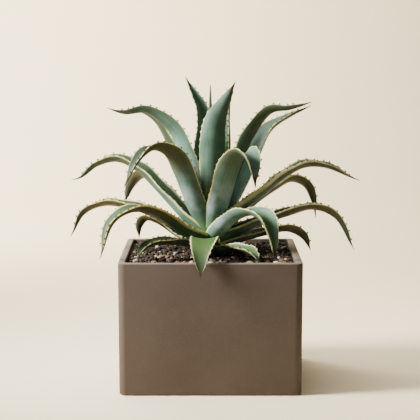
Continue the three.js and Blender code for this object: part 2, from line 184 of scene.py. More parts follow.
# Each leaf: the direction it grows in (0 is +X, 270 is the front) and its widest width. Where it
# isn't plain, cup is how many times as much as CHANNEL it bends, and turn how many degrees it is
# turned about its rib at the root and at the tip, mostly near the tip. Then its colours, where
# they aren't PLAIN_SKIN's, and the route of its rib as (reach from the middle, height, sideways),
# where sideways may be left out.
LEAVES = [
    # Upright leaves round the bud.
    dict(azimuth=280, width=31, bloom=0.3, tip_wear_and_shade=0, olive_and_shade=0.1, frost=0.1, margin=0.7,
         route=[(7, 188), (15, 225), (18, 264), (17, 296, 4), (15, 317, 15), (15, 338, 26)]),
    dict(azimuth=110, width=21, bloom=0.9, tip_wear_and_shade=0.1, olive_and_shade=0.1, margin=0.6,
         route=[(7, 190), (15, 232, 2.5), (18.5, 262, 4), (18.5, 288, 1.5), (19.5, 307, 4),
                (22, 320, 10), (26, 343, 21)]),
    dict(azimuth=14, width=22, turn=(20, 0),
         bloom=1, tip_wear_and_shade=0, channel_shade=0, olive_and_shade=0.3, fresh=0.1, margin=1.2,
         route=[(7, 190), (16, 222), (20, 262), (20.5, 296), (22.5, 318)]),
    dict(azimuth=84, width=26, bloom=0.5, olive_and_shade=0.3,
         route=[(7, 186), (16, 220), (28, 256), (52, 281), (84, 285), (112, 270)]),
    # Upper arches.
    dict(azimuth=192, width=31, turn=(20, 15),
         bloom=1, tip_wear_and_shade=0.5, olive_and_shade=0.15, frost=0.9, margin=0.8,
         route=[(7, 184.4), (23.9, 236.9), (43.5, 282.1), (72.6, 304.5), (97.5, 303.6),
                (118.3, 309.3)]),
    dict(azimuth=338, width=23, turn=(-18, -25),
         bloom=0.05, tip_wear_and_shade=1, olive_and_shade=0.2, frost=0, gold=0.4, margin=0.8,
         route=[(7, 187), (29, 234), (47.2, 276.8), (71.5, 305.2), (94, 309.3), (120.5, 316.7)]),
    dict(azimuth=8, width=33, cup=0.8, turn=(40, -18),
         bloom=1, tip_wear_and_shade=0.8, channel_shade=0.1, olive_and_shade=0.4, frost=1, margin=1.2,
         route=[(7, 179), (26.5, 207), (46, 245.3), (66.5, 282), (92, 299), (116, 310)]),
    dict(azimuth=170, width=30, turn=(20, 10), bloom=0.3, olive_and_shade=0.4, gold=0.3, margin=1.2,
         route=[(7, 182.4), (27.5, 221.5), (47.5, 266), (62.5, 292), (77, 302.3), (90.3, 304.6)]),
    dict(azimuth=76, width=26, bloom=0.5, olive_and_shade=0.4,
         route=[(7, 176), (26, 212), (48, 244), (80, 250), (106, 232), (118, 210)]),
    dict(azimuth=106, width=26, bloom=0.5, olive_and_shade=0.4,
         route=[(7, 175), (28, 208), (52, 238), (84, 244), (110, 226), (122, 204)]),
    dict(azimuth=308.5, width=37.5, cup=1.05,
         bloom=0.7, tip_wear_and_shade=0.3, channel_shade=0.3, frost=0.9, gold=0.8, margin=1.2,
         route=[(7, 173), (22.4, 205), (34.4, 232), (46.2, 252), (60, 260.5), (71, 254),
                (76.8, 239), (79.5, 223)]),
    dict(azimuth=215, width=33, cup=0.95, turn=(20, 0),
         bloom=0.3, tip_wear_and_shade=1, channel_shade=1, olive_and_shade=0.6, frost=0.4, gold=0.7, margin=0.9,
         route=[(6, 171), (25, 203), (40, 236), (56, 259), (78, 265), (100, 250), (115, 225)]),
    # Middle arches.
    dict(azimuth=145, width=27, turn=(0, 46), bloom=0.2, olive_and_shade=0.9,
         route=[(7, 165), (28, 179), (52, 197.5), (78, 219.5), (99, 225.5), (114, 214),
                (125, 190)]),
    dict(azimuth=172, width=30, cup=1.2, turn=(-10, 6),
         bloom=0.3, channel_shade=0.2, frost=0.2, fresh=0.2, margin=1.7,
         route=[(7, 167), (30, 186), (62, 218), (82, 236.5), (106, 247.5), (131, 242),
                (150, 228), (162, 224)]),
    dict(azimuth=27, width=22, turn=(0, -48), bloom=0.3, olive_and_shade=0.9, margin=2.6,
         route=[(7, 164), (30, 180), (51, 195), (84, 213), (106, 221.5), (126, 215), (136, 198),
                (140, 175)]),
    dict(azimuth=5, width=30, cup=1.15, turn=(-8, 8), olive_and_shade=0.55, gold=0.1, margin=4.2,
         route=[(7, 167), (29, 190), (59, 210), (82, 228), (106, 241), (131, 241), (172, 224)]),
    dict(azimuth=88, width=28, olive_and_shade=0.6,
         route=[(7, 160), (38, 181), (74, 197), (106, 193), (130, 166)]),
    # Lower arches.
    dict(azimuth=178, width=28, cup=1.1, turn=(-6, 12),
         bloom=0.3, olive_and_shade=1, gold=0.6, margin=2.2,
         route=[(7, 158), (29, 168), (63, 186), (96, 196), (122, 198), (145, 187.5), (160.5, 160)]),
    dict(azimuth=358, width=28, cup=1.1, turn=(4, -20), bloom=0.3, olive_and_shade=0.85, gold=0.2,
         route=[(7, 158), (25, 166), (59, 179), (88, 188), (117, 195), (143, 184), (164, 147)]),
    dict(azimuth=311, width=32, cup=1.15,
         bloom=0.65, tip_wear_and_shade=0.1, channel_shade=1, olive_and_shade=0.35, frost=1, fresh=0.45, margin=1.1,
         route=[(7, 160), (18, 170), (35, 183), (66, 194), (88, 191), (101, 173), (107, 147)]),
    dict(azimuth=213, width=29, turn=(0, 10),
         bloom=0.2, tip_wear_and_shade=0.2, channel_shade=0.3, olive_and_shade=0.8, frost=0, fresh=0.3, gold=0.9, margin=2.4,
         route=[(7, 160), (20, 164), (40, 173), (73, 193), (104, 198), (128, 186), (144, 147)]),
    # Leaves that lie low over the mix and the rim.
    dict(azimuth=155, width=26, turn=(-20, 40), bloom=0.3, olive_and_shade=1, gold=0.3,
         route=[(8, 151), (40, 163), (66, 175), (83, 177), (91, 168), (92, 154)]),
    dict(azimuth=121, width=26, olive_and_shade=0.6,
         route=[(8, 150), (40, 158), (72, 167), (96, 169), (112, 160)]),
    dict(azimuth=58, width=26, olive_and_shade=0.6,
         route=[(8, 150), (40, 158), (75, 164), (105, 161), (124, 148)]),
    dict(azimuth=15, width=27, turn=(8, -50), bloom=0.3, olive_and_shade=0.9,
         route=[(8, 151), (35, 158), (65, 163), (94, 166), (113, 156), (121, 141)]),
    dict(azimuth=304, width=25, bloom=0.3, olive_and_shade=0.2, fresh=0.9,
         route=[(8, 148), (30, 151), (52, 153), (73, 153), (88, 150), (96, 143)]),
    dict(azimuth=223, width=27, bloom=0.3, olive_and_shade=0.1, fresh=0.9, margin=1.2,
         route=[(8, 151), (25, 155), (58, 160), (88, 161), (104, 155), (109, 145)]),
    dict(azimuth=264.5, width=29, cup=0.35,
         bloom=0.1, tip_wear_and_shade=0.9, channel_shade=1, olive_and_shade=0.25, frost=0, fresh=0.7, margin=1.8,
         route=[(8, 151), (28, 159), (50, 165), (68, 168), (86, 166), (101, 159), (108.5, 147),
                (109.4, 129)]),
]


# ---- Small tools ----

def smooth_at(stations, t):
    """Value at t on a smooth curve through a list of (t, value) stations."""
    last = len(stations) - 1
    i = next((k for k in range(1, last + 1) if stations[k][0] >= t), last)

    def slope(k):
        (t0, v0), (t1, v1) = stations[max(k - 1, 0)], stations[min(k + 1, last)]
        return (v1 - v0) / (t1 - t0)

    (t0, v0), (t1, v1) = stations[i - 1], stations[i]
    span = t1 - t0
    s = min(max((t - t0) / span, 0), 1)
    start = v0 * (1 + 2 * s) * (1 - s) ** 2 + slope(i - 1) * span * s * (1 - s) ** 2
    end = v1 * s * s * (3 - 2 * s) + slope(i) * span * s * s * (s - 1)
    return start + end


def blend(a, b, share):
    """The number that lies that share of the way from a to b."""
    return a + (b - a) * share


def new_piece(name):
    """Names the object that a primitive or a join has just made, and returns it."""
    piece = bpy.context.object
    piece.name = piece.data.name = name
    return piece


def deselect_all():
    bpy.ops.object.select_all(action="DESELECT")


def work_on(piece):
    """Selects this piece alone and makes it the active one."""
    deselect_all()
    piece.select_set(True)
    bpy.context.view_layer.objects.active = piece


def begin_edit(select="NOTHING", mode="FACE"):
    """Edit mode on the active piece, with everything or nothing of its mesh selected."""
    bpy.ops.object.mode_set(mode="EDIT")
    bpy.ops.mesh.select_mode(type=mode)
    bpy.ops.mesh.select_all(action="SELECT" if select == "ALL" else "DESELECT")


def end_edit():
    bpy.ops.object.mode_set(mode="OBJECT")


def pick_faces(piece, wanted):
    """Leaves exactly the wanted faces selected, and goes to edit mode. wanted takes a face."""
    begin_edit()
    end_edit()
    for face in piece.data.polygons:
        face.select = wanted(face)
    bpy.ops.object.mode_set(mode="EDIT")


def pick_edges(piece, wanted):
    """Leaves exactly the wanted edges selected, and goes to edit mode. wanted takes two ends."""
    begin_edit(mode="EDGE")
    end_edit()
    points = piece.data.vertices
    for edge in piece.data.edges:
        edge.select = wanted(points[edge.vertices[0]].co, points[edge.vertices[1]].co)
    bpy.ops.object.mode_set(mode="EDIT")


def face_outwards():
    """Turns every face of the active piece outwards. It is in object mode before and after."""
    begin_edit("ALL")
    bpy.ops.mesh.normals_make_consistent(inside=False)
    end_edit()


def smooth(piece, degrees):
    """Shades the piece smooth, but for edges sharper than this."""
    work_on(piece)
    bpy.ops.object.shade_smooth_by_angle(angle=math.radians(degrees))


def point_values(mesh, *names):
    """The lists of one number per point that a material reads by these names, made if need be."""
    for name in names:
        if name not in mesh.attributes:
            mesh.attributes.new(name, "FLOAT", "POINT")
    return [mesh.attributes[name].data for name in names]


def fill_values(mesh, name, value):
    """Gives every point of the mesh the same number."""
    point_values(mesh, name)[0].foreach_set("value", [value] * len(mesh.vertices))


# ---- Finishes ----

def colour(r, g, b):
    return (r, g, b, 1)


# Leaf colours, from dark to light where there are two.
DEEP_GREEN = colour(0.010, 0.025, 0.011), colour(0.024, 0.052, 0.024)
FRESH_GREEN = colour(0.055, 0.105, 0.014)
WAXY_GREEN = colour(0.115, 0.235, 0.172), colour(0.20, 0.335, 0.272)
# The olive brown of the outer face over the arch, kept dark as painted shade on the underside.
OLIVE_BROWN_AND_SHADE = colour(0.042, 0.037, 0.013), colour(0.080, 0.070, 0.028)
FROST_GREY = colour(0.33, 0.42, 0.42)
ROOT_GREEN = colour(0.10, 0.19, 0.05)
# The dark of the tip, partly the leaf's own and partly painted shade over the arches and droops.
TIP_GREEN = colour(0.026, 0.038, 0.026)
LINE_GREEN = colour(0.20, 0.27, 0.11)
CREAM = colour(0.52, 0.53, 0.25), colour(0.74, 0.73, 0.45)
GOLD = colour(0.66, 0.53, 0.14)
DULL_CREAM = colour(0.17, 0.18, 0.10)

# The brown of a tooth, at its foot and at its point.
HORN_BROWN = colour(0.040, 0.026, 0.020), colour(0.016, 0.012, 0.011)

# Where each marking and painted shade of a leaf sets in or dies away, from the root (0) to the
# tip (1).
ROOT_PALES = (0.02, 0.13)
OLIVE_AND_SHADE_BEGINS = (0.08, 0.3)
OLIVE_AND_SHADE_ENDS = (0.74, 0.94)
FROST_BEGINS = (0.09, 0.2)
FROST_ENDS = (0.22, 0.5)
# Where the painted shade along the middle of the inner face sets in.
CHANNEL_SHADE_BEGINS = (0.2, 0.5)
# The wax thins and the skin darkens towards the tip, partly worn and partly as painted shade.
WAX_THINNING_AND_SHADE = (0.35, 0.72)
TIP_DARKENS = (0.68, 0.93)
MARGIN_NARROWS = (0.25, 0.85)
CREAM_DULLS = (0.6, 0.92)
SPINE_BEGINS = (0.90, 0.95)

# The pot's clay, the painted highlight that lightens the top of its rim with the millimetres below
# the top where it sets in and is full, and its pale and dark grains of sand.
CLAY = colour(0.071, 0.053, 0.042), colour(0.086, 0.065, 0.052)
RIM_HIGHLIGHT = colour(0.185, 0.158, 0.132)
RIM_HIGHLIGHT_DEPTHS = (1.6, 0.2)
PALE_SAND = colour(0.150, 0.125, 0.104)
DARK_SAND = colour(0.050, 0.038, 0.030)

# The mix's crumbs, the trunk, the specks on the stones, and the stones' shades, each with the own
# number from which they have it.
CRUMBS = colour(0.006, 0.005, 0.004), colour(0.032, 0.022, 0.015)
TRUNK = colour(0.20, 0.17, 0.08), colour(0.36, 0.36, 0.20)
GRIT_SPECKS = colour(0.06, 0.045, 0.035)
GRIT_SHADES = [
    (0.0, colour(0.008, 0.006, 0.004)), (0.42, colour(0.018, 0.012, 0.008)),
    (0.70, colour(0.040, 0.025, 0.016)), (0.83, colour(0.085, 0.054, 0.034)),
    (0.885, colour(0.16, 0.125, 0.095)), (0.925, colour(0.27, 0.17, 0.095)),
    (0.955, colour(0.42, 0.31, 0.19)), (0.98, colour(0.60, 0.53, 0.42)),
]


def node(tree, kind, inputs, out=0, **settings):
    """Adds a shader node, sets or links its inputs, and returns one of its outputs."""
    made = tree.nodes.new("ShaderNode" + kind)
    for key, value in settings.items():
        setattr(made, key, value)
    for key, value in inputs.items():
        if isinstance(value, bpy.types.NodeSocket):
            tree.links.new(value, made.inputs[key])
        else:
            made.inputs[key].default_value = value
    return made.outputs[out]


def mix(tree, share, a, b):
    """Colour a turned into colour b by share."""
    return node(tree, "Mix", {0: share, 6: a, 7: b}, out=2, data_type="RGBA")


def ramp(tree, value, low, high, start=0.0, end=1.0):
    """start below low, end above high, and a soft step between."""
    inputs = {"Value": value, "From Min": low, "From Max": high, "To Min": start, "To Max": end}
    return node(tree, "MapRange", inputs, interpolation_type="SMOOTHSTEP")


def maths(tree, how, a, b):
    return node(tree, "Math", {0: a, 1: b}, operation=how)


def times(tree, product, *others):
    """The product of all its values, from left to right."""
    for other in others:
        product = maths(tree, "MULTIPLY", product, other)
    return product


def plus(tree, a, b):
    return maths(tree, "ADD", a, b)


def without(tree, share):
    """What a share leaves of the whole."""
    return maths(tree, "SUBTRACT", 1.0, share)


def read(tree, name):
    """A piece's own value at each point."""
    return node(tree, "Attribute", {}, out=2, attribute_name=name)


def place(tree):
    """Where a point is, in metres from the origin of its piece."""
    return node(tree, "TexCoord", {}, out=3)


def grain(tree, vector, scale, detail, roughness):
    """Noise about 0.5, whose patches get smaller as scale grows."""
    inputs = {"Vector": vector, "Scale": scale, "Detail": detail, "Roughness": roughness}
    return node(tree, "TexNoise", inputs)


def new_finish(name, **constants):
    """A material, its node tree and its shader, whose plain values are set on its own sockets."""
    material = bpy.data.materials.new(name)
    material.use_nodes = True
    shader = material.node_tree.nodes["Principled BSDF"]
    for key, value in constants.items():
        shader.inputs[key.replace("_", " ")].default_value = value
    return material, material.node_tree, shader


def paint(tree, shader, shade):
    tree.links.new(shade, shader.inputs["Base Color"])


def emboss(tree, shader, height, strength, depth):
    """Fine relief whose full depth is in millimetres."""
    bump = node(tree, "Bump", {"Strength": strength, "Distance": depth * MM, "Height": height})
    tree.links.new(bump, shader.inputs["Normal"])


def leaf_finish():
    """Waxy blue-green skin with lengthwise streaks, cream margins, and brown teeth and spine."""
    material, tree, shader = new_finish(
        "agave_skin", IOR=1.42, Specular_IOR_Level=0.28, Subsurface_Weight=0.05,
        Subsurface_Radius=(0.5, 1.0, 0.3), Subsurface_Scale=1.5 * MM,
    )
    along, across, edge, outer, thorn, own = (read(tree, name) for name in POINT_FACTS)
    bloom, tip_wear_and_shade, channel_shade, olive_and_shade, frost, fresh, gold, margin = (
        read(tree, name) for name in PLAIN_SKIN
    )
    # Streaks run the length of the blade, and cloudy patches lie over them.
    lengthwise = node(tree, "CombineXYZ", {
        "X": times(tree, across, 11.0), "Y": times(tree, along, 2.6), "Z": times(tree, own, 40.0),
    })
    streaks = grain(tree, lengthwise, 1.6, 5.0, 0.6)
    clouds = grain(tree, place(tree), 55.0, 3.0, 0.55)
    specks = grain(tree, place(tree), 900.0, 2.0, 0.5)
    from_rib = maths(tree, "ABSOLUTE", across, 0.0)

    deep = mix(tree, ramp(tree, streaks, 0.3, 0.7), *DEEP_GREEN)
    deep = mix(tree, times(tree, fresh, 0.8), deep, FRESH_GREEN)
    waxy = mix(tree, ramp(tree, clouds, 0.25, 0.75), *WAXY_GREEN)
    # The wax thins out towards the tip, partly worn and partly as painted shade over the arches and
    # droops, and is taken off along the middle of the inner face as painted shade in its channel.
    channel_band = times(tree, ramp(tree, from_rib, 0.1, 0.75, 1.0, 0.0),
                   ramp(tree, along, *CHANNEL_SHADE_BEGINS, 0.25, 1.0))
    channel_shading = times(tree, channel_shade, without(tree, outer), channel_band)
    streaky = ramp(tree, streaks, 0.3, 0.6, 0.72, 1.0)
    faded_and_shaded = times(tree, tip_wear_and_shade, ramp(tree, along, *WAX_THINNING_AND_SHADE))
    wax = times(tree, bloom, without(tree, channel_shading), streaky, without(tree, faded_and_shaded))
    skin = mix(tree, wax, deep, waxy)
    # The outer face turns olive brown over the arch, nearer the root the more olive it is, and is
    # darkened there as painted shade on the underside.
    shift = times(tree, maths(tree, "SUBTRACT", olive_and_shade, 1.0), 0.55)
    arch_underside = times(tree, ramp(tree, plus(tree, along, shift), *OLIVE_AND_SHADE_BEGINS),
                 ramp(tree, along, *OLIVE_AND_SHADE_ENDS, 1.0, 0.5))
    brown_and_shade = mix(tree, ramp(tree, streaks, 0.3, 0.7), *OLIVE_BROWN_AND_SHADE)
    skin = mix(tree, times(tree, olive_and_shade, outer, arch_underside), skin, brown_and_shade)
    # The outer face is frosted in patches a little above the root.
    low = times(tree, ramp(tree, along, *FROST_BEGINS), ramp(tree, along, *FROST_ENDS, 1.0, 0.0))
    patchy = ramp(tree, clouds, 0.3, 0.7, 0.3, 1.0)
    frosted = times(tree, frost, outer, times(tree, low, patchy))
    skin = mix(tree, frosted, skin, FROST_GREY)
    # Pale towards the root, and dark towards the tip, partly as painted shade over the arches and
    # droops.
    skin = mix(tree, ramp(tree, along, *ROOT_PALES, 0.35, 0.0), skin, ROOT_GREEN)
    darkened = times(tree, ramp(tree, along, *TIP_DARKENS), ramp(tree, tip_wear_and_shade, 0.0, 1.0, 0.1, 0.8))
    skin = mix(tree, darkened, skin, TIP_GREEN)
    # The margin: a green-yellow line, then cream out to the edge, narrower towards the tip.
    uneven = times(tree, maths(tree, "SUBTRACT", streaks, 0.5), 0.5)
    width = times(tree, margin, ramp(tree, along, *MARGIN_NARROWS, 1.2, 0.35))
    inwards = plus(tree, maths(tree, "DIVIDE", edge, width), uneven)
    skin = mix(tree, ramp(tree, from_rib, 0.78, 1.0, 0.0, 0.35), skin, LINE_GREEN)
    cream = mix(tree, ramp(tree, clouds, 0.35, 0.7), *CREAM)
    cream = mix(tree, times(tree, gold, 0.8), cream, GOLD)
    cream = mix(tree, ramp(tree, along, *CREAM_DULLS, 0.0, 0.75), cream, DULL_CREAM)
    skin = mix(tree, ramp(tree, inwards, 0.3, 1.1, 1.0, 0.0), skin, cream)
    # Brown on the points of the teeth and on the spine.
    horn = mix(tree, ramp(tree, thorn, 0.6, 1.0), *HORN_BROWN)
    points = maths(tree, "MAXIMUM", ramp(tree, thorn, 0.15, 0.45), ramp(tree, along, *SPINE_BEGINS))
    paint(tree, shader, mix(tree, points, skin, horn))

    tree.links.new(ramp(tree, clouds, 0.2, 0.8, 0.45, 0.62), shader.inputs["Roughness"])
    emboss(tree, shader, plus(tree, streaks, times(tree, specks, 0.35)), 0.35, 0.25)
    return material


def stoneware_finish():
    """Unglazed grey-brown clay with a fine sandy grain, a faint cloudiness and a painted highlight
    on the top of its rim.
    """
    material, tree, shader = new_finish(
        "stoneware", Roughness=0.86, IOR=1.45, Specular_IOR_Level=0.25,
    )
    clouds = grain(tree, place(tree), 9.0, 4.0, 0.55)
    sand = grain(tree, place(tree), 1500.0, 2.0, 0.6)
    pits = grain(tree, place(tree), 420.0, 2.0, 0.5)
    clay = mix(tree, ramp(tree, clouds, 0.3, 0.7), *CLAY)
    height = node(tree, "SeparateXYZ", {"Vector": place(tree)}, out=2)
    sets_in, full = ((POT_HEIGHT - below) * MM for below in RIM_HIGHLIGHT_DEPTHS)
    # The top of the rim is lightened as a painted highlight.
    clay = mix(tree, ramp(tree, height, sets_in, full, 0.0, 0.55), clay, RIM_HIGHLIGHT)
    clay = mix(tree, ramp(tree, sand, 0.55, 0.75, 0.0, 0.35), clay, PALE_SAND)
    clay = mix(tree, ramp(tree, sand, 0.25, 0.42, 0.35, 0.0), clay, DARK_SAND)
    paint(tree, shader, clay)
    emboss(tree, shader, plus(tree, sand, times(tree, pits, 1.2)), 0.3, 0.3)
    return material


def mix_finish():
    """Dark crumbly mix."""
    material, tree, shader = new_finish("crumbly_mix", Roughness=0.95, Specular_IOR_Level=0.2)
    crumbs = grain(tree, place(tree), 380.0, 4.0, 0.65)
    paint(tree, shader, mix(tree, ramp(tree, crumbs, 0.35, 0.68), *CRUMBS))
    emboss(tree, shader, crumbs, 0.9, 1.2)
    return material


def stone_finish():
    """Grit of many colours: own picks each stone's, from near black to cream."""
    material, tree, shader = new_finish("grit", Roughness=0.82, Specular_IOR_Level=0.2)
    specks = grain(tree, place(tree), 700.0, 3.0, 0.6)
    shade = node(tree, "ValToRGB", {"Fac": read(tree, "own")})
    steps = shade.node.color_ramp
    steps.interpolation = "CONSTANT"
    # A new ramp has two steps, which take the first shade and the last.
    steps.elements[0].color = GRIT_SHADES[0][1]
    steps.elements[1].position, steps.elements[1].color = GRIT_SHADES[-1]
    for share, between in GRIT_SHADES[1:-1]:
        steps.elements.new(share).color = between
    paint(tree, shader, mix(tree, ramp(tree, specks, 0.3, 0.75, 0.0, 0.55), shade, GRIT_SPECKS))
    emboss(tree, shader, specks, 0.5, 0.4)
    return material


def stem_finish():
    """Pale green and brown trunk, fibrous and dull."""
    material, tree, shader = new_finish("pale_trunk", Roughness=0.75)
    fibres = grain(tree, place(tree), 260.0, 4.0, 0.6)
    paint(tree, shader, mix(tree, ramp(tree, fibres, 0.35, 0.7), *TRUNK))
    emboss(tree, shader, fibres, 0.6, 0.6)
    return material


# ---- Leaves ----

def rib_route(leaf):
    """Points close together on the smooth curve through a leaf's route, in millimetres, and the
    way across the leaf. One more stop at each end of the route lets the curve end straight."""
    angle = math.radians(leaf["azimuth"])
    out = Vector((math.cos(angle), math.sin(angle), 0))
    side = Vector((-math.sin(angle), math.cos(angle), 0))
    stops = []
    for reach, height, *sway in leaf["route"]:
        stops.append(out * reach + side * sum(sway) + Vector((0, 0, height)))
    stops = [2 * stops[0] - stops[1], *stops, 2 * stops[-1] - stops[-2]]
    points = []
    for p0, p1, p2, p3 in zip(stops, stops[1:], stops[2:], stops[3:]):
        # The square roots of the distances keep the curve from looping where stops are close.
        d0, d1, d2 = ((b - a).length ** 0.5 for a, b in ((p0, p1), (p1, p2), (p2, p3)))
        leave = ((p1 - p0) / d0 - (p2 - p0) / (d0 + d1) + (p2 - p1) / d1) * d1
        arrive = ((p2 - p1) / d1 - (p3 - p1) / (d1 + d2) + (p3 - p2) / d2) * d1
        for step in range(ROUTE_STEPS):
            s = step / ROUTE_STEPS
            points.append(
                p1 * (1 + 2 * s) * (1 - s) ** 2
                + leave * s * (1 - s) ** 2
                + p2 * s * s * (3 - 2 * s)
                + arrive * s * s * (s - 1)
            )
    points.append(stops[-2])
    return points, side


def blade_frames(leaf):
    """Even steps along the rib: its place, its direction, and the ways across the blade and out
    of its inner face. Then the rib's length."""
    points, side = rib_route(leaf)
    travelled = [0.0]
    for a, b in zip(points, points[1:]):
        travelled.append(travelled[-1] + (b - a).length)
    length = travelled[-1]
    rings = round(length / RING_PITCH)
    turn = leaf.get("turn", (0, 0))
    frames = []
    k = 0
    for i in range(rings + 1):
        t = i / rings
        while k < len(points) - 2 and travelled[k + 1] < t * length:
            k += 1
        share = (t * length - travelled[k]) / (travelled[k + 1] - travelled[k])
        rib = points[k].lerp(points[k + 1], share)
        low, high = max(k - 1, 0), min(k + 2, len(points) - 1)
        ahead = (points[high] - points[low]).normalized()
        across = (side - ahead * side.dot(ahead)).normalized()
        across.rotate(Matrix.Rotation(math.radians(blend(*turn, t * t)), 3, ahead))
        frames.append((rib, ahead, across, ahead.cross(across)))
    return frames, length


def tooth_rings(draw, rings, length):
    """The rings that carry a tooth on one edge: about TOOTH_PITCH apart, unevenly."""
    first, last = (share * rings for share in TOOTH_RANGE)
    pitch = TOOTH_PITCH * rings / length
    chosen = []
    at = first + draw.random() * pitch
    while at < last:
        chosen.append(round(at))
        at += pitch * draw.uniform(*TOOTH_SPACING)
    return chosen


def make_leaf(number, leaf, finish):
    """A leaf as one closed mesh: a flat blade that is laid along the rib, with teeth raised from
    its edges."""
    name = f"leaf_{number:02d}"
    draw = random.Random(number)
    frames, length = blade_frames(leaf)
    rings = len(frames) - 1
    teeth = {edge: tooth_rings(draw, rings, length) for edge in (1, -1)}

    piece = flat_blade(name + "_blade", rings)
    mesh = piece.data
    shape_blade(mesh, leaf, frames, length, teeth, draw)
    face_outwards()
    raise_teeth(piece, teeth, frames)
    for key, plain in PLAIN_SKIN.items():
        fill_values(mesh, key, leaf.get(key, plain))
    fill_values(mesh, "own", draw.random())
    smooth(piece, 50)
    mesh.materials.append(finish)
    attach(piece, "root")
    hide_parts(name)


def flat_blade(name, rings):
    """A flat grid for a leaf's inner face, extruded where it lies. The new face, which will be
    the outer one, is left selected."""
    deselect_all()
    bpy.ops.mesh.primitive_grid_add(x_subdivisions=rings, y_subdivisions=STRIPS, size=1)
    piece = new_piece(name)
    along, across = point_values(piece.data, "along", "across")
    for point in piece.data.vertices:
        q = 2 * point.co.y
        along[point.index].value = point.co.x + 0.5
        across[point.index].value = q * (1 + EDGE_CROWDING * (1 - q * q))
    begin_edit("ALL")
    bpy.ops.mesh.extrude_region()
    end_edit()
    return piece


def shape_blade(mesh, leaf, frames, length, teeth, draw):
    """Takes every point of a flat blade to its place: across a channel that bends about the rib,
    with waves and swellings that grow towards the edges."""
    along, across, outer, from_edge = point_values(mesh, "along", "across", "outer", "edge")
    rings = len(frames) - 1
    cup = leaf.get("cup", 1)
    wave_phase = draw.uniform(0, 2 * math.pi)
    wave_length = draw.uniform(*WAVE_LENGTHS)
    for point in mesh.vertices:
        t, q = along[point.index].value, across[point.index].value
        is_outer = outer[point.index].value = float(point.select)
        rib, _, sideways, inner = frames[round(t * rings)]
        near_edge = abs(q) ** 3
        bend = cup * smooth_at(CHANNEL, t)
        half = leaf["width"] / 2 * smooth_at(OUTLINE, t)
        side_teeth = teeth[1 if q > 0 else -1]
        swell = sum(math.exp(-((t * rings - ring - 0.5) ** 2) / SWELL_FALL) for ring in side_teeth)
        half += TOOTH_SWELL * swell * near_edge
        radius = half / bend
        edge_thick = smooth_at(EDGE_THICKNESS, t)
        thick = edge_thick + (smooth_at(THICKNESS, t) - edge_thick) * (1 - q * q)
        reach = radius + thick * is_outer
        taper = min(1, 4 * t, 4 * (1 - t))
        lead = WAVE_LEAD if q > 0 else 0
        wave = WAVE_HEIGHT * taper * near_edge * math.sin(
            2 * math.pi * t * length / wave_length + wave_phase + lead
        )
        spot = rib + sideways * (reach * math.sin(bend * q))
        spot += inner * (radius - reach * math.cos(bend * q) + wave)
        point.co = spot * MM
        from_edge[point.index].value = (1 - abs(q)) * half


def raise_teeth(piece, teeth, frames):
    """Teeth on the edge strips: each a face drawn in and out into a foot, then up to a point that
    hooks back towards the root."""
    mesh = piece.data
    rings = len(frames) - 1
    along, across, outer = (
        [point.value for point in values]
        for values in point_values(mesh, "along", "across", "outer")
    )

    def is_root(face):
        """Whether a tooth grows on this face: one between the inner and the outer face's edge."""
        spots = list(face.vertices)
        if any(abs(across[v]) < 0.999 for v in spots) or len({outer[v] for v in spots}) != 2:
            return False
        edge = 1 if across[spots[0]] > 0 else -1
        return min(round(along[v] * rings) for v in spots) in teeth[edge]

    blade_points = len(mesh.vertices)
    pick_faces(piece, is_root)
    bpy.ops.mesh.inset(
        use_individual=True, thickness=TOOTH_INSET * MM, depth=TOOTH_FOOT * MM
    )
    end_edit()
    foot_points = len(mesh.vertices)
    bpy.ops.object.mode_set(mode="EDIT")
    bpy.ops.mesh.poke(offset=TOOTH_POINT * MM)
    end_edit()
    all_points = len(mesh.vertices)

    # New points take the mean of their older neighbours' values, and a thorn value of their own.
    keys = ("along", "across", "outer", "edge")
    *lists, thorn = point_values(mesh, *keys, "thorn")
    values = dict(zip(keys, lists))
    neighbours = {}
    for edge in mesh.edges:
        a, b = edge.vertices
        neighbours.setdefault(a, []).append(b)
        neighbours.setdefault(b, []).append(a)
    for first, last, sharpness in (
        (blade_points, foot_points, 0.5),
        (foot_points, all_points, 1.0),
    ):
        for v in range(first, last):
            near = [n for n in neighbours[v] if n < first]
            for key in keys:
                values[key][v].value = sum(values[key][n].value for n in near) / len(near)
            thorn[v].value = sharpness
    for v in range(foot_points, all_points):
        ahead = frames[round(values["along"][v].value * rings)][1]
        mesh.vertices[v].co -= ahead * (TOOTH_HOOK * MM)


# ---- Pot ----

def half_pot(z):
    """Half the pot's outside width at a height."""
    return blend(POT_BASE_WIDTH, POT_WIDTH, z / POT_HEIGHT) / 2


def quarter(radius):
    """How far in and how far along the points of a rounded edge lie, from one face to the next."""
    angles = [math.pi / 2 * step / ROUND_STEPS for step in range(ROUND_STEPS + 1)]
    return [(radius * (1 - math.sin(a)), radius * (1 - math.cos(a))) for a in angles]


def pot_levels():
    """(half width, corner radius, height) of each level of the pot, up its outside, over its rim
    and down its inside."""
    levels = []
    for inset, height in quarter(FOOT_ROUND):
        levels.append((half_pot(height) - inset, CORNER_RADIUS - inset, height))
    for along, inset in quarter(RIM_ROUND):
        height = POT_HEIGHT - along
        levels.append((half_pot(height) - inset, CORNER_RADIUS - inset, height))
    for inset, along in quarter(RIM_ROUND):
        height = POT_HEIGHT - along
        levels.append((half_pot(height) - POT_WALL + inset, INNER_CORNER_RADIUS + inset, height))
    for along, inset in quarter(INNER_FOOT_ROUND):
        height = POT_FLOOR + along
        levels.append((half_pot(height) - POT_WALL - inset, INNER_CORNER_RADIUS - inset, height))
    return levels


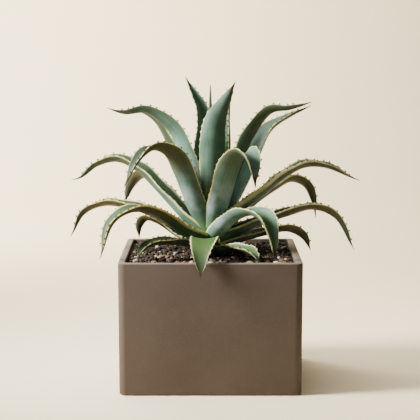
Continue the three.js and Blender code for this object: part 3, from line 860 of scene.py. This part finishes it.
def make_pot(finish):
    """The pot: a square with rounded corners, drawn up level by level, over its rim and down."""
    deselect_all()
    levels = pot_levels()
    half, radius, _ = levels[0]
    bpy.ops.mesh.primitive_plane_add(size=2 * half * MM)
    piece = new_piece("square_pot")
    begin_edit("ALL", "VERT")
    bpy.ops.mesh.bevel(offset=radius * MM, segments=CORNER_STEPS, affect="VERTICES", profile=0.5)
    end_edit()
    for next_half, next_radius, height in levels[1:]:
        # Straight sides stay straight, and each corner is scaled to its new radius.
        straight = half - radius
        bpy.ops.object.mode_set(mode="EDIT")
        bpy.ops.mesh.extrude_region()
        end_edit()
        for point in piece.data.vertices:
            if point.select:
                for axis in (0, 1):
                    share = (abs(point.co[axis]) / MM - straight) / radius
                    spot = (next_half - next_radius + next_radius * share) * MM
                    point.co[axis] = math.copysign(spot, point.co[axis])
                point.co.z = height * MM
        half, radius = next_half, next_radius
    face_outwards()
    drill_drains(piece)
    smooth(piece, 35)
    piece.data.materials.append(finish)
    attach(piece, "root")
    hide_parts("pot")


def drill_drains(pot):
    """Round holes through the floor of the pot."""
    for x, y in DRAIN_PLACES:
        deselect_all()
        spot = (x * DRAIN_FROM_MIDDLE * MM, y * DRAIN_FROM_MIDDLE * MM, 0)
        bpy.ops.mesh.primitive_cylinder_add(
            vertices=DRAIN_SIDES, radius=DRAIN_RADIUS * MM, depth=3 * POT_FLOOR * MM, location=spot
        )
        drill = new_piece("drill")
        cut = pot.modifiers.new("drain", "BOOLEAN")
        cut.operation = "DIFFERENCE"
        cut.solver = "EXACT"
        cut.object = drill
        work_on(pot)
        bpy.ops.object.modifier_apply(modifier=cut.name)
        bpy.data.objects.remove(drill)


# ---- Potting mix and its stones ----

def mix_height(x, y):
    """Height of the mix at a place, in millimetres."""
    height = MIX_LEVEL
    for rise, width in MIX_RELIEF:
        height += rise * noise.noise(Vector((x, y, 0)) / width)
    return height


def make_mix(finish):
    """The mix: a crumbly top with rounded corners, drawn down to the floor of the pot."""
    deselect_all()
    bpy.ops.mesh.primitive_grid_add(x_subdivisions=MIX_CELLS, y_subdivisions=MIX_CELLS, size=1)
    piece = new_piece("mix_bed")
    half = half_pot(MIX_LEVEL) - POT_WALL - MIX_GAP
    straight = half - INNER_CORNER_RADIUS
    bottom = POT_FLOOR + MIX_GAP
    shrink = (half_pot(bottom) - POT_WALL - MIX_GAP) / half
    begin_edit("ALL")
    bpy.ops.mesh.extrude_region()
    end_edit()
    for point in piece.data.vertices:
        x, y = 2 * half * point.co.x, 2 * half * point.co.y
        over = Vector((max(abs(x) - straight, 0), max(abs(y) - straight, 0)))
        if over.length > INNER_CORNER_RADIUS:
            over *= INNER_CORNER_RADIUS / over.length
            x, y = (math.copysign(straight + o, v) for o, v in zip(over, (x, y)))
        if point.select:
            point.co = Vector((x * shrink, y * shrink, bottom)) * MM
        else:
            point.co = Vector((x, y, mix_height(x, y))) * MM
    face_outwards()
    smooth(piece, 60)
    piece.data.materials.append(finish)
    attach(piece, "root")
    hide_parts("potting_mix")


def stone_shapes():
    """Stones to copy: STONE_KINDS small lumps, and as many rounder ones for the large stones."""
    # Without a seed, noise_vector starts from the clock.
    noise.seed_set(STONE_SEED)
    shapes = []
    for kind in range(2 * STONE_KINDS):
        deselect_all()
        if kind < STONE_KINDS:
            bpy.ops.mesh.primitive_cube_add(size=1.3)
            begin_edit("ALL")
            bpy.ops.mesh.subdivide(number_cuts=1, smoothness=0.9)
            end_edit()
        else:
            bpy.ops.mesh.primitive_ico_sphere_add(subdivisions=2, radius=1)
        lump = new_piece("lump")
        for point in lump.data.vertices:
            rough = noise.noise_vector(point.co * 1.1 + Vector((0, 0, 9.0 * kind)))
            point.co += rough * STONE_ROUGHNESS
        shapes.append(lump.data)
        bpy.data.objects.remove(lump)
    return shapes


def low_spots():
    """Where leaves come down to the mix, so that no scattered stone lies there."""
    spots = []
    for leaf in LEAVES:
        points, _ = rib_route(leaf)
        spots += [(p.x, p.y) for p in points[::8] if p.z < MIX_LEVEL + LOW_LEAF]
    return spots


def scatter_stones(draw):
    """(x, y, radius, shade, shown) of every stone: the shown ones first, then scattered ones
    wherever there is room."""
    reach = half_pot(MIX_LEVEL) - POT_WALL - WALL_MARGIN
    leaves = low_spots()
    placed = [(*stone, True) for stone in SHOWN_STONES]
    # Stones are filed by the square cell that they lie in, so that only neighbours are compared.
    cell = 2 * STONE_RADII[1]
    filed = {}

    def room(x, y, size):
        column, row = int(x // cell), int(y // cell)
        for i in (column - 1, column, column + 1):
            for j in (row - 1, row, row + 1):
                for ox, oy, other in filed.get((i, j), []):
                    if math.hypot(ox - x, oy - y) < STONE_CLOSENESS * (other + size):
                        return False
        return True

    def claim(x, y, size):
        filed.setdefault((int(x // cell), int(y // cell)), []).append((x, y, size))

    for x, y, size, _, _ in placed:
        claim(x, y, size)
    for _ in range(STONE_TRIES):
        if len(placed) >= STONES:
            break
        size = blend(*STONE_RADII, draw.random() ** SMALL_STONES)
        x, y = draw.uniform(size - reach, reach - size), draw.uniform(size - reach, reach - size)
        clear = all(math.hypot(x - lx, y - ly) > LEAF_MARGIN + size for lx, ly in leaves)
        if math.hypot(x, y) > STEM_MARGIN and clear and room(x, y, size):
            claim(x, y, size)
            placed.append((x, y, size, draw.random(), False))
    return placed


def make_stones(finish):
    """The grit: a copy of one of the shapes for each stone, spun, tipped, flattened and sunk."""
    draw = random.Random(STONE_SEED)
    shapes = stone_shapes()
    lumps = []
    for number, (x, y, size, shade, shown) in enumerate(scatter_stones(draw)):
        kinds = shapes[STONE_KINDS:] if size > LARGE_STONE else shapes[:STONE_KINDS]
        mesh = draw.choice(kinds).copy()
        spin = Matrix.Rotation(draw.uniform(0, 2 * math.pi), 4, "Z")
        tip = Matrix.Rotation(draw.uniform(-STONE_TILT, STONE_TILT), 4, "X")
        flat = Matrix.Diagonal([*(draw.uniform(*span) for span in STONE_SPANS), 1])
        lift = size * (SHOWN_LIFT if shown else draw.uniform(*GRIT_LIFT))
        spot = Vector((x, y, mix_height(x, y) + lift)) * MM
        mesh.transform(Matrix.Translation(spot) @ spin @ tip @ flat @ Matrix.Scale(size * MM, 4))
        fill_values(mesh, "own", shade)
        lump = bpy.data.objects.new(f"lump_{number}", mesh)
        bpy.context.scene.collection.objects.link(lump)
        lumps.append(lump)
    deselect_all()
    for lump in lumps:
        lump.select_set(True)
    bpy.context.view_layer.objects.active = lumps[0]
    bpy.ops.object.join()
    piece = new_piece("grit_stones")
    smooth(piece, 42)
    piece.data.materials.append(finish)
    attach(piece, "root")


# ---- Stem and bud ----

def turned(name, profile, sides):
    """A round piece, drawn up ring by ring from a circle through (radius, height) stations."""
    deselect_all()
    radius, height = profile[0]
    bpy.ops.mesh.primitive_circle_add(
        vertices=sides, radius=radius * MM, location=(0, 0, height * MM), fill_type="NGON"
    )
    piece = new_piece(name)
    bpy.ops.object.transform_apply(location=True, rotation=True, scale=True)
    begin_edit("ALL")
    for (r0, z0), (r1, z1) in zip(profile, profile[1:]):
        bpy.ops.mesh.extrude_region_move(TRANSFORM_OT_translate={"value": (0, 0, (z1 - z0) * MM)})
        bpy.ops.transform.resize(value=(r1 / r0, r1 / r0, 1))
    end_edit()
    face_outwards()
    return piece


def fine_profile(profile, pitch):
    """A smooth profile with a station every pitch millimetres of height, or nearly."""
    low, high = profile[0][1], profile[-1][1]
    steps = round((high - low) / pitch)
    stations = [(height, radius) for radius, height in profile]
    heights = [blend(low, high, i / steps) for i in range(steps + 1)]
    return [(smooth_at(stations, height), height) for height in heights]


def make_stem(finish):
    """The trunk, ringed by the scars of old leaves."""
    scarred = []
    for radius, height in fine_profile(STEM, STEM_PITCH):
        scarred.append((radius + SCAR_DEPTH * math.sin(height * SCAR_RATE), height))
    piece = turned("trunk", scarred, STEM_SIDES)
    smooth(piece, 40)
    piece.data.materials.append(finish)
    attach(piece, "root")
    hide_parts("stem")


def make_bud(finish):
    """The bud: leaves rolled round each other, so that one edge winds up it as a low step."""
    piece = turned("furled_bud", fine_profile(BUD, BUD_PITCH), BUD_SIDES)
    mesh = piece.data
    low, high = BUD[0][1] * MM, BUD[-1][1] * MM
    along, across, from_edge = point_values(mesh, "along", "across", "edge")
    for point in mesh.vertices:
        t = (point.co.z - low) / (high - low)
        share = (math.atan2(point.co.y, point.co.x) / (2 * math.pi)) % 1
        radius = math.hypot(point.co.x, point.co.y)
        # The last column of points steps down to meet the first.
        rise = share / (1 - 1 / BUD_SIDES) if share < 0.999 else 0
        lifted = radius * (1 - BUD_STEP + BUD_STEP * min(rise, 1))
        angle = 2 * math.pi * share + BUD_TWIST * t + BUD_START
        point.co.x, point.co.y = lifted * math.cos(angle), lifted * math.sin(angle)
        along[point.index].value = blend(*BUD_ALONG, t)
        across[point.index].value = 2 * share - 1
        from_edge[point.index].value = (1 - share) * 2 * math.pi * radius / MM
    for key, value in dict(PLAIN_SKIN, **BUD_SKIN).items():
        fill_values(mesh, key, value)
    smooth(piece, 50)
    mesh.materials.append(finish)
    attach(piece, "root")
    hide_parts("bud")


# ---- Stage, light and camera, in metres ----

CAMERA_PLACE = (0, -1.638, 0.385)
CAMERA_PITCH = 6.73
SENSOR = 36
FRAME_PIXELS = 420
FOCAL_PIXELS = 1449
FRAME_MIDDLE = 210.4

# The floor's width, where it starts and where it begins to curve up, then the radius and the
# steps of the curve, and the height of the backdrop over it.
FLOOR_WIDTH = 8
FLOOR_FRONT = -3.5
FLOOR_BACK = 1.6
SWEEP_RADIUS = 0.5
SWEEP_STEPS = 12
BACKDROP_HEIGHT = 3.5
FLOOR_SHADE = colour(0.875, 0.765, 0.53)

# Each lamp: its name, its place, where it points, its width, watts, tint and spread in degrees.
LAMPS = [
    ("window", (-0.95, -0.25, 0.76), (0, 0.02, 0.2), 0.45, 9.2, (1.0, 0.96, 0.90), 60),
    ("overhead", (-0.2, 0.25, 1.5), (0, 0.1, 0.2), 1.0, 2.4, (1.0, 0.98, 0.95), 70),
    ("backdrop_glow", (-0.9, 1.0, 1.2), (-0.2, 2.2, 0.3), 1.0, 110, (1.0, 0.95, 0.86), 180),
]
ROOM_TINT = colour(0.99, 0.98, 0.96)
ROOM_STRENGTH = 0.2


def make_stage():
    """A plain pale floor that curves up into a backdrop."""
    deselect_all()
    bpy.ops.mesh.primitive_plane_add(size=1)
    floor = new_piece("sweep_floor")
    for point in floor.data.vertices:
        y = FLOOR_FRONT if point.co.y < 0 else FLOOR_BACK
        point.co = Vector((point.co.x * FLOOR_WIDTH, y, 0))
    pick_edges(floor, lambda a, b: min(a.y, b.y) > 0)
    for step in range(1, SWEEP_STEPS + 1):
        a0, a1 = ((s / SWEEP_STEPS) * math.pi / 2 for s in (step - 1, step))
        back = SWEEP_RADIUS * (math.sin(a1) - math.sin(a0))
        up = SWEEP_RADIUS * (math.cos(a0) - math.cos(a1))
        bpy.ops.mesh.extrude_region_move(TRANSFORM_OT_translate={"value": (0, back, up)})
    bpy.ops.mesh.extrude_region_move(TRANSFORM_OT_translate={"value": (0, 0, BACKDROP_HEIGHT)})
    end_edit()
    smooth(floor, 60)
    material, _, shader = new_finish("pale_floor", Roughness=0.9)
    shader.inputs["Base Color"].default_value = FLOOR_SHADE
    floor.data.materials.append(material)


def make_light():
    """The lamps, and an even light from all round."""
    for name, spot, aim, size, watts, tint, spread in LAMPS:
        data = bpy.data.lights.new(name, "AREA")
        data.shape = "DISK"
        data.size = size
        data.energy = watts
        data.color = tint
        data.spread = math.radians(spread)
        lamp = bpy.data.objects.new(name, data)
        bpy.context.scene.collection.objects.link(lamp)
        lamp.location = spot
        lamp.rotation_euler = (Vector(aim) - Vector(spot)).to_track_quat("-Z", "Y").to_euler()
    world = bpy.data.worlds.new("studio")
    bpy.context.scene.world = world
    world.use_nodes = True
    sky = world.node_tree.nodes["Background"]
    sky.inputs["Color"].default_value = ROOM_TINT
    sky.inputs["Strength"].default_value = ROOM_STRENGTH


def make_camera():
    """The photograph's view: level from side to side, tipped down by CAMERA_PITCH degrees."""
    data = bpy.data.cameras.new("camera")
    data.sensor_width = SENSOR
    data.lens = FOCAL_PIXELS * SENSOR / FRAME_PIXELS
    data.shift_x = (FRAME_PIXELS / 2 - FRAME_MIDDLE) / FRAME_PIXELS
    camera = bpy.data.objects.new("camera", data)
    bpy.context.scene.collection.objects.link(camera)
    camera.location = CAMERA_PLACE
    camera.rotation_euler = (math.radians(90 - CAMERA_PITCH), 0, 0)
    bpy.context.scene.camera = camera


make_camera()
make_light()
make_stage()
make_pot(stoneware_finish())
make_mix(mix_finish())
make_stones(stone_finish())
make_stem(stem_finish())
leaf_skin = leaf_finish()
make_bud(leaf_skin)
for leaf_number, leaf_facts in enumerate(LEAVES, start=1):
    make_leaf(leaf_number, leaf_facts, leaf_skin)

bpy.context.view_layer.update()
